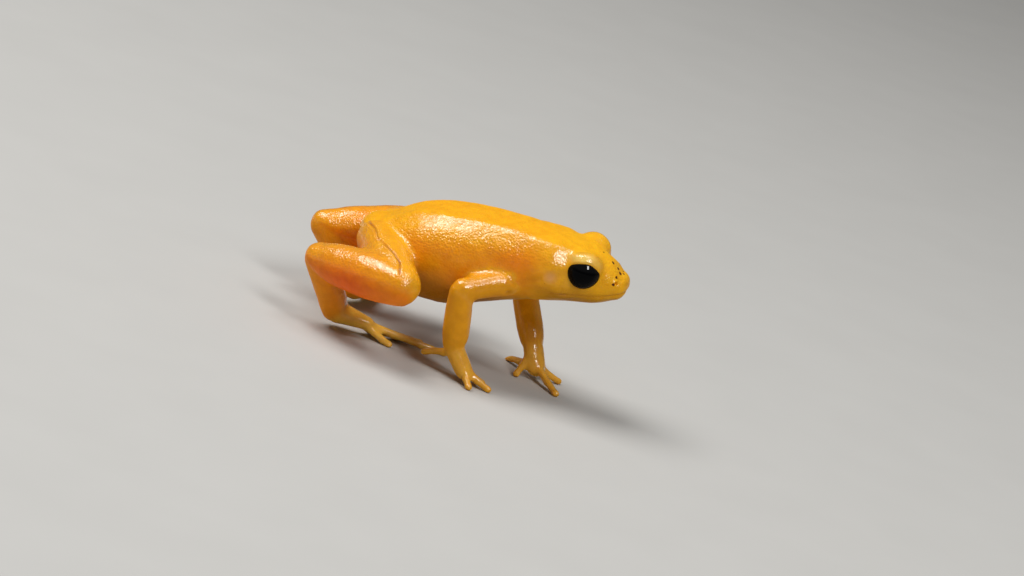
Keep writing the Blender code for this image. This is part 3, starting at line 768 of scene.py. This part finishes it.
@dataclass
class Skin:
    """The whole skin in one piece, closed over the joints and fitted round the eyes.

    Sizes are in millimetres, a grain is a closeness and a height, and rounds say how often
    each vertex is averaged with its neighbours.
    """

    eyes: list[Eye]
    face: FaceShape = FaceShape()
    shades: Shades = Shades()
    voxel: float = 0.12
    closing: float = 0.2
    socket_fill: float = 1.5
    soft_rounds: int = 14
    digit_rounds: int = 3
    bend_rounds: int = 36
    bend_width: float = 1.6
    digit_growth: float = 0.04
    fine_rims: Pair = (0.42, 0.26)
    lid_area: float = 2.3
    fine_grain: Pair = (2.9, 0.016)
    broad_grain: Pair = (0.9, 0.03)
    grain_near_eye: Ease = Ease(1.5, 2.6)
    sole_height: float = 0.03
    mouth_line: tuple[Pair, ...] = (
        (1.5, 11.15), (0.0, 11.0), (-1.0, 10.72), (-3.0, 10.3), (-5.0, 9.98), (-6.0, 9.85),
        (-7.5, 9.6))
    mouth_corner: float = -5.9
    nostril: Triple = (-1.05, 1.55, 11.75)
    eardrum: Triple = (-6.23, 3.7, 11.26)
    specks: tuple[tuple[float, float, float, float], ...] = (
        (-1.87, -0.39, 12.99, 0.17), (-2.92, 0.17, 13.40, 0.12), (-1.31, -0.32, 12.61, 0.17),
        (-1.04, -0.54, 12.34, 0.20), (-0.92, 0.22, 12.26, 0.14), (-1.93, -1.53, 12.75, 0.12),
        (-0.79, -0.15, 12.23, 0.13), (-1.19, -1.32, 12.21, 0.15), (-1.62, -2.20, 11.68, 0.18),
        (-1.22, -1.85, 11.72, 0.16), (-6.55, -3.66, 10.63, 0.12), (-3.32, -3.37, 10.68, 0.10),
        (-1.45, 0.9, 12.6, 0.14), (-1.9, 1.6, 12.5, 0.12))
    golden_joints: tuple[Triple, ...] = (
        (-16.6, -8.9, 6.8), (-25.6, -4.4, 6.0), (-18.2, 9.1, 7.8), (-27.4, 3.5, 6.5))
    flesh: list[str] = field(default_factory=list)
    piece: Piece | None = None

    def build(self) -> Piece:
        """Run every step of the skin in order."""
        self.gather()
        self.close_seams()
        self.refine_face()
        self.sculpt_eyes()
        self.sculpt_mouth()
        self.sculpt_folds()
        self.sculpt_nostrils_and_eardrums()
        self.grain_surface()
        self.rest_on_floor()
        self.paint()
        self.dress()
        return self.piece

    def gather(self) -> None:
        """Copy the nodes of flesh, fill the eye sockets and join all in millimetres."""
        deselect_everything()
        copies = []
        self.flesh = sorted(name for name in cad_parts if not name.startswith("eye_"))
        for name in self.flesh:
            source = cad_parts[name]
            copy = bpy.data.objects.new("skin_of_" + name, source.data.copy())
            bpy.context.scene.collection.objects.link(copy)
            copy.data.transform(Matrix.Scale(1 / MM, 4))
            copies.append(copy)
        for eye in self.eyes:
            deselect_everything()
            bpy.ops.mesh.primitive_uv_sphere_add(segments=48, ring_count=32,
                                                 radius=self.socket_fill,
                                                 location=tuple(eye.place()))
            copies.append(bpy.context.active_object)
        deselect_everything()
        for copy in copies:
            copy.select_set(True)
        bpy.context.view_layer.objects.active = copies[0]
        bpy.ops.object.join()
        self.piece = bpy.context.active_object
        self.piece.name = "skin"
        self.piece.data.name = "skin"
        self.piece.data.materials.clear()
        bpy.ops.object.mode_set(mode="EDIT")
        bpy.ops.mesh.select_all(action="SELECT")
        bpy.ops.mesh.remove_doubles(threshold=0.0005)
        bpy.ops.object.mode_set(mode="OBJECT")

    def remesh(self) -> None:
        """Give the skin a fresh, even mesh."""
        apply_modifier(self.piece, "REMESH", mode="VOXEL", voxel_size=self.voxel)

    def close_seams(self) -> None:
        """Melt the lengths together across their gaps, and smooth the facets and bends."""
        self.remesh()
        apply_modifier(self.piece, "DISPLACE", strength=self.closing, mid_level=0.0)
        self.remesh()
        apply_modifier(self.piece, "SMOOTH", factor=0.5, iterations=2)
        apply_modifier(self.piece, "DISPLACE", strength=-self.closing, mid_level=0.0)
        self.remesh()
        edges = edges_of(self.piece)
        points = points_of(self.piece)
        digit = spread(self.node_values("digit"), edges, 6)
        soft = spread(points, edges, self.soft_rounds)
        crisp = spread(points, edges, self.digit_rounds)
        points = soft + (crisp - soft) * digit[:, None]
        rounded = spread(points, edges, self.bend_rounds)
        bend = np.zeros(len(points))
        for joint in self.golden_joints:
            bend = np.maximum(bend, bell(self.from_joint(points, joint), self.bend_width))
        set_points(self.piece, points + (rounded - points) * bend[:, None])

    @staticmethod
    def from_joint(points: Array, joint: Triple) -> Array:
        """Distance of points from a joint that is given from the snout's tip and the floor."""
        return np.linalg.norm(points - np.array(joint) + np.array(POSE.middle), axis=1)

    def node_values(self, name: str) -> Array:
        """A value of the tints at each vertex, from the nearest length of the body."""
        corners, faces, owners = [], [], []
        start = 0
        for node in self.flesh:
            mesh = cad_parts[node].data
            limb = node.removesuffix("_left").removesuffix("_right")
            corners.extend(vertex.co / MM for vertex in mesh.vertices)
            for polygon in mesh.polygons:
                faces.append([start + index for index in polygon.vertices])
                owners.append(getattr(TINTS[limb], name))
            start += len(mesh.vertices)
        tree = BVHTree.FromPolygons(corners, faces)
        return np.array([owners[tree.find_nearest(Vector(point))[2]]
                         for point in points_of(self.piece)])

    def subdivide_where(self, chosen: Array) -> None:
        """Split the faces all of whose vertices are chosen, as in edit mode."""
        make_active(self.piece)
        mesh = self.piece.data
        starts = read_rows(mesh.polygons, "loop_start", 1, np.int64).ravel()
        totals = read_rows(mesh.polygons, "loop_total", 1, np.int64).ravel()
        corners = read_rows(mesh.loops, "vertex_index", 1, np.int64).ravel()
        picked = np.add.reduceat(chosen[corners].astype(np.int64), starts) == totals
        bpy.ops.object.mode_set(mode="EDIT")
        bpy.ops.mesh.select_mode(type="FACE")
        bpy.ops.mesh.select_all(action="DESELECT")
        bpy.ops.object.mode_set(mode="OBJECT")
        mesh.polygons.foreach_set("select", picked)
        bpy.ops.object.mode_set(mode="EDIT")
        bpy.ops.mesh.subdivide(number_cuts=1)
        bpy.ops.mesh.select_all(action="SELECT")
        bpy.ops.mesh.quads_convert_to_tris()
        bpy.ops.object.mode_set(mode="OBJECT")

    def mouth_rise(self, level: Array) -> Array:
        """Height of points above the line of the mouth."""
        along = np.array([knot[0] for knot in self.mouth_line])[::-1]
        height = np.array([knot[1] for knot in self.mouth_line])[::-1]
        return level[:, 2] - np.interp(level[:, 0], along, height)

    def refine_face(self) -> None:
        """Make the mesh finer along the lids, the mouth and the folds, and round small marks."""
        for rim in self.fine_rims:
            level = POSE.level(points_of(self.piece))
            chosen = np.zeros(len(level), dtype=bool)
            for eye in self.eyes:
                outside = eye.outside_opening(level)
                chosen |= (np.abs(outside) < rim) & (eye.reach(level) < self.lid_area)
                chosen |= distance_from(level, eye.mirrored(self.nostril)) < rim + 0.1
            for speck in self.specks:
                chosen |= distance_from(level, speck[:3]) < rim * 0.6
            for fold in FOLDS:
                chosen |= fold.distance(POSE.posed(level)) < rim * 0.8
            if rim == self.fine_rims[0]:
                rise = self.mouth_rise(level)
                chosen |= (np.abs(rise) < 0.25) & (level[:, 0] > self.mouth_corner - 0.4)
            self.subdivide_where(chosen)

    def sculpt_eyes(self) -> None:
        """Seat the skin round each eyeball, with a thick upper lid and a thin lower one."""
        face = self.face
        level = POSE.level(points_of(self.piece))
        for eye in self.eyes:
            centre = eye.mirrored(eye.centre)
            reach = eye.reach(level)
            outside = eye.outside_opening(level)
            upper = eye.upper_share(level)
            edge = (face.lower_edge + face.upper_gain * upper) * face.edge_range(outside)
            thick = face.rearward_range(level[:, 0])
            crest = upper * thick * face.crest_range(outside)
            hidden = eye.radius - face.hidden_depth
            lid = eye.radius + face.seat + edge + crest
            wanted = hidden + (lid - hidden) * face.opening_range(outside)
            below = face.lower_range(outside)
            above = face.upper_range(outside)
            share = (below + (above - below) * upper) * face.from_eye_range(reach)
            moved = centre + unit(level - centre) * (reach + (wanted - reach) * share)[:, None]
            level = np.where(share[:, None] > 0, moved, level)
        set_points(self.piece, POSE.posed(self.soften_crown(level)))

    def soften_crown(self, level: Array) -> Array:
        """Blend the upper lids into the crown of the head."""
        rounded = spread(level, edges_of(self.piece), self.face.crown_rounds)
        for eye in self.eyes:
            outer = self.face.crown_range(eye.outside_opening(level)) * \
                self.face.crown_from_eye(eye.reach(level)) * eye.upper_share(level)
            level = level + (rounded - level) * outer[:, None]
        return level

    def push(self, points: Array, move: Array) -> None:
        """Move the vertices along their normals."""
        set_points(self.piece, points + normals_of(self.piece) * move[:, None])

    def sculpt_mouth(self) -> None:
        """Press the line of the mouth into the face and raise soft lips beside it."""
        face = self.face
        points = points_of(self.piece)
        level = POSE.level(points)
        rise = self.mouth_rise(level)
        fade = Ease(self.mouth_corner - 0.5, self.mouth_corner + 1.0)(level[:, 0])
        fade *= face.mouth_height_range(level[:, 2])
        move = -face.mouth_depth * bell(rise, face.mouth_width)
        for height, above, width in (face.upper_lip, face.lower_lip):
            move += height * bell(rise - above, width)
        self.push(points, move * fade)

    def sculpt_folds(self) -> None:
        """Press the creases into the skin and let the flesh of calf, ankle and digits rise."""
        points = points_of(self.piece)
        digit = spread(self.node_values("digit"), edges_of(self.piece), 20)
        move = self.digit_growth * digit
        for swelling in SWELLINGS:
            away = self.from_joint(points, swelling.place)
            move += swelling.rise * bell(away, swelling.width)
        for fold in FOLDS:
            away = fold.distance(points)
            groove = bell(away, fold.width) - 0.45 * bell(away - fold.width * 2.4, fold.width * 1.2)
            move -= fold.depth * groove
        self.push(points, move)

    def sculpt_nostrils_and_eardrums(self) -> None:
        """Sink the nostrils in their low rims and set the eardrums in shallow rings."""
        face = self.face
        points = points_of(self.piece)
        level = POSE.level(points)
        move = np.zeros(len(points))
        rim_height, rim_radius, rim_width = face.nostril_rim
        for eye in self.eyes:
            away = distance_from(level, eye.mirrored(self.nostril))
            move += rim_height * bell(away - rim_radius, rim_width)
            move -= face.nostril_depth * bell(away, face.nostril_width)
            drum = np.linalg.norm((level - eye.mirrored(self.eardrum))[:, [0, 2]], axis=1)
            same_side = level[:, 1] * eye.side.value > 0.5
            ring = face.eardrum_ring * bell(drum - face.eardrum_radius, face.eardrum_ring_width)
            ring -= face.eardrum_dip * bell(drum, face.eardrum_dip_width)
            move += ring * same_side
        self.push(points, move)

    def grain_surface(self) -> None:
        """Lay fine, uneven grains over the skin, more on the flanks and thighs."""
        points = points_of(self.piece)
        amount = spread(self.node_values("grainy"), edges_of(self.piece), 25)
        level = POSE.level(points)
        for eye in self.eyes:
            amount *= self.grain_near_eye(eye.reach(level))
        move = np.zeros(len(points))
        for closeness, height in (self.fine_grain, self.broad_grain):
            grains = np.array([noise.noise(Vector(point) * closeness) for point in points])
            move += grains * height
        self.push(points, move * amount)

    def rest_on_floor(self) -> None:
        """Flatten what lies on the floor, so that nothing sinks below it."""
        points = points_of(self.piece)
        points[:, 2] = np.where(points[:, 2] < self.sole_height, 0.0, points[:, 2])
        set_points(self.piece, points)

    def survey(self) -> Survey:
        """Measure the finished skin for the masks of colour."""
        points = points_of(self.piece)
        edges = edges_of(self.piece)
        level = POSE.level(points)
        arm, flush, pale, grainy = (
            spread(self.node_values(name), edges, self.shades.rounds)
            for name in ("arm", "flush", "pale", "grainy"))
        torso = 1 - self.shades.torso_range(arm + flush * 2 + pale)
        head = self.shades.head_along(level[:, 0]) * torso
        normals = normals_of(self.piece)
        return Survey(points, level, normals, normals[:, 2], arm, flush, pale, grainy, torso, head)

    def paint(self) -> None:
        """Work out where each colour of the skin lies."""
        survey = self.survey()
        add_mask(self.piece, "arm", survey.arm)
        add_mask(self.piece, "pale", survey.pale)
        self.paint_body(survey)
        self.paint_flush(survey)
        self.paint_face(survey)
        self.paint_creases(survey)
        self.paint_wetness(survey)

    def paint_body(self, survey: Survey) -> None:
        """Deepen the flanks, gild the head, back and joints, and lay painted shade on the belly and
        jaw.
        """
        shades = self.shades
        side_on = shades.flank_facing(np.abs(survey.normals[:, 1])) * shades.flank_up(survey.up)
        side_on *= survey.torso * (1 - shades.flank_off_head * survey.head)
        add_mask(self.piece, "flank", side_on)
        golden = shades.golden_head * survey.head + shades.golden_up(survey.up) * survey.torso
        for joint in self.golden_joints:
            away = self.from_joint(survey.points, joint)
            golden += shades.golden_joint * bell(away, shades.golden_joint_width)
        add_mask(self.piece, "golden", golden)
        # painted shade, darker towards the bottom of the body and under the jaw
        low = shades.belly_shade_height(survey.level[:, 2]) * survey.torso
        jaw = shades.jaw_shade_height(survey.level[:, 2]) * survey.head
        add_mask(self.piece, "belly_shade", np.maximum(low, jaw))

    def paint_flush(self, survey: Survey) -> None:
        """Redden the undersides of the hind legs, the middle of the shanks and the shoulders."""
        shades = self.shades
        reddened = survey.flush * shades.flush_up(survey.up)
        for side in Side:
            low_corner, high_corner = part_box("shank_" + side.name.lower())
            middle = np.array((low_corner + high_corner) / 2) / MM
            away = distance_from(survey.points, middle)
            reddened += shades.shank_share * bell(away, shades.shank_width) * \
                shades.shank_range(survey.flush) * shades.shank_up(survey.up)
        one_side = survey.level.copy()
        one_side[:, 1] = np.abs(one_side[:, 1])
        away = distance_from(one_side, shades.shoulder)
        reddened += shades.shoulder_share * bell(away, shades.shoulder_width) * survey.torso
        add_mask(self.piece, "flush", reddened)

    def paint_face(self, survey: Survey) -> None:
        """Pale the upper lids, tint the eardrums rosy and keep the grain off the eyes."""
        shades = self.shades
        lid = np.zeros(len(survey.points))
        rosy = np.zeros(len(survey.points))
        calm = np.ones(len(survey.points))
        for eye in self.eyes:
            near = eye.reach(survey.level)
            outside = eye.outside_opening(survey.level)
            # the lid band: partly the lids' paler colour, partly painted sheen
            band = shades.lid_pale_and_sheen_inner(outside) * shades.lid_pale_and_sheen_outer(outside)
            band *= shades.lid_pale_and_sheen_along(survey.level[:, 0])
            lid += band * eye.upper_share(survey.level) * shades.lid_pale_and_sheen_near_eye(near)
            calm *= shades.calm_near_eye(near)
            drum = distance_from(survey.level, eye.mirrored(self.eardrum))
            rosy += shades.rosy_range(drum)
        add_mask(self.piece, "lid", lid)
        add_mask(self.piece, "rosy", rosy)
        calm = shades.calm_least + (1 - shades.calm_least) * calm
        add_mask(self.piece, "grainy", survey.grainy * shades.grain_up(survey.up) * calm)

    def paint_creases(self, survey: Survey) -> None:
        """Lay painted shade in the creases and along the line of the mouth, and dot the freckles.
        """
        # painted shade in the folds and along the line of the mouth
        crease_shade = np.zeros(len(survey.points))
        for fold in FOLDS:
            away = fold.distance(survey.points)
            crease_shade = np.maximum(crease_shade, fold.tint * bell(away, fold.width))
        rise = self.mouth_rise(survey.level)
        lips = Ease(self.mouth_corner - 0.4, self.mouth_corner + 1.0)(survey.level[:, 0])
        mouth = self.shades.mouth_shade_share * lips * bell(rise, self.face.mouth_width)
        add_mask(self.piece, "crease_shade", np.maximum(crease_shade, mouth))
        dots = np.zeros(len(survey.points))
        for *place, size in self.specks:
            dots = np.maximum(dots, bell(distance_from(survey.level, place), size))
        add_mask(self.piece, "speck", dots)

    def paint_wetness(self, survey: Survey) -> None:
        """Keep the film of water off the back, the crown and the undersides."""
        shades = self.shades
        rump = shades.rump_rearward(-survey.normals[:, 0]) * shades.rump_up(survey.up)
        back = np.maximum(shades.back_up(survey.up), rump)
        crown = shades.crown_across(np.abs(survey.level[:, 1])) * shades.crown_up(survey.up)
        dry = shades.dryness * (back * (survey.torso - survey.head) + crown * survey.head)
        snout = shades.snout_along(survey.level[:, 0]) * survey.torso
        add_mask(self.piece, "wet", shades.wet_up(survey.up) * (1 - dry) * (1 - snout))

    def dress(self) -> None:
        """Give the skin its size in metres, its material and its place on the frog."""
        self.piece.data.transform(Matrix.Scale(MM, 4))
        self.piece.data.shade_smooth()
        self.piece.data.materials.append(SkinFinish().material())
        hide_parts(*self.flesh)
        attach(self.piece, ROOT_BODY)


@dataclass
class Studio:
    """A pale floor, soft lights and the camera."""

    floor_half: float = 2.5
    azimuth: float = math.radians(8)
    elevation: float = math.radians(15)
    roll: float = math.radians(18)
    lens: float = 150.0
    sensor: float = 36.0
    pixels_per_mm: float = 12.0
    snout_height: float = 11.7
    snout_pixel: Pair = (630.0, 283.0)
    clip: Pair = (0.01, 10.0)
    floor_dark: Colour = (0.50, 0.50, 0.49)
    floor_light: Colour = (0.53, 0.53, 0.52)
    warm: Colour = (1.0, 0.98, 0.95)
    clear: Colour = (1.0, 0.99, 0.97)
    ambient: float = 0.10
    light_aim_height: float = 0.008

    def camera_axes(self) -> tuple[Vector, Vector, Vector]:
        """Right, up and back of the camera in the part's frame."""
        level_right = Vector((math.cos(self.azimuth), math.sin(self.azimuth), 0))
        back = Vector((math.sin(self.azimuth) * math.cos(self.elevation),
                       -math.cos(self.azimuth) * math.cos(self.elevation),
                       math.sin(self.elevation)))
        level_up = back.cross(level_right)
        right = level_right * math.cos(self.roll) + level_up * math.sin(self.roll)
        return right, back.cross(right), back

    def add_camera(self) -> None:
        """Set the camera at the photograph's angle and framing."""
        right, up, back = self.camera_axes()
        across = (IMAGE_WIDTH / 2 - self.snout_pixel[0]) / self.pixels_per_mm
        rise = (self.snout_pixel[1] - IMAGE_HEIGHT / 2) / self.pixels_per_mm
        snout = Vector((0.0, 0.0, self.snout_height)) - Vector(POSE.middle)
        centre = (snout + right * across + up * rise) * MM
        distance = self.lens / self.sensor * IMAGE_WIDTH / self.pixels_per_mm * MM
        data = bpy.data.cameras.new("camera")
        data.lens = self.lens
        data.sensor_width = self.sensor
        data.clip_start, data.clip_end = self.clip
        camera = bpy.data.objects.new("camera", data)
        bpy.context.scene.collection.objects.link(camera)
        turn = Matrix((right, up, back)).transposed()
        camera.matrix_world = Matrix.Translation(centre + back * distance) @ turn.to_4x4()
        bpy.context.scene.camera = camera

    def add_floor(self) -> None:
        """Lay a plain pale floor under the frog."""
        deselect_everything()
        bpy.ops.mesh.primitive_plane_add(size=self.floor_half * 2)
        floor = bpy.context.active_object
        floor.name = "floor"
        tree = ShaderTree("pale_floor")
        tone = tree.blend(tree.grain(9.0), self.floor_dark, self.floor_light)
        floor.data.materials.append(tree.finish({"Base Color": tone, "Roughness": 0.8}))

    def add_light(self, name: str, towards: Vector, distance: float, size: Pair,
                  power: float, colour: Colour) -> None:
        """Hang one soft light that faces the frog.

        Args:
            name: Name of the light.
            towards: Direction from the frog to the light.
            distance: How far away it hangs, in metres.
            size: Its width and height, in metres.
            power: Its power in watts.
            colour: Its colour.
        """
        data = bpy.data.lights.new(name, "AREA")
        data.shape = "RECTANGLE"
        data.size, data.size_y = size
        data.energy = power
        data.color = colour
        light = bpy.data.objects.new(name, data)
        bpy.context.scene.collection.objects.link(light)
        way = towards.normalized()
        middle = Vector((0, 0, self.light_aim_height))
        turn = way.to_track_quat("Z", "Y").to_matrix().to_4x4()
        light.matrix_world = Matrix.Translation(middle + way * distance) @ turn

    def add_lights(self) -> None:
        """Light the frog from above and behind, with a narrow front light for the wet glints."""
        right, up, back = self.camera_axes()
        overhead = up * 0.95 - right * 0.20 + back * 0.18
        self.add_light("overhead", overhead, 0.40, (0.20, 0.24), 1.34, self.warm)
        front = right * 0.536 + up * 0.421 + back * 0.733
        self.add_light("front", front, 0.45, (0.09, 0.17), 0.82, self.clear)
        top = Vector((0.17, 0.02, 0.97))
        self.add_light("top", top, 0.40, (0.10, 0.10), 0.19, self.warm)
        world = bpy.data.worlds.new("studio")
        world.use_nodes = True
        background = world.node_tree.nodes["Background"]
        background.inputs["Color"].default_value = (*self.warm, 1.0)
        background.inputs["Strength"].default_value = self.ambient
        bpy.context.scene.world = world

    def build(self) -> None:
        """Set up the camera, the floor, the lights and plain colours."""
        bpy.context.scene.view_settings.view_transform = "Standard"
        self.add_camera()
        self.add_floor()
        self.add_lights()


def main() -> None:
    """Build the studio, the eyes and the skin, and report each."""
    logging.basicConfig(level=logging.INFO, format="%(message)s")
    Studio().build()
    log.info("studio ready")
    eyes = [Eye(Side.LEFT), Eye(Side.RIGHT)]
    for eye in eyes:
        ball = eye.build()
        log.info("%s: %d faces", ball.name, len(ball.data.polygons))
    skin = Skin(eyes).build()
    log.info("%s: %d faces", skin.name, len(skin.data.polygons))


if __name__ == "__main__":
    main()
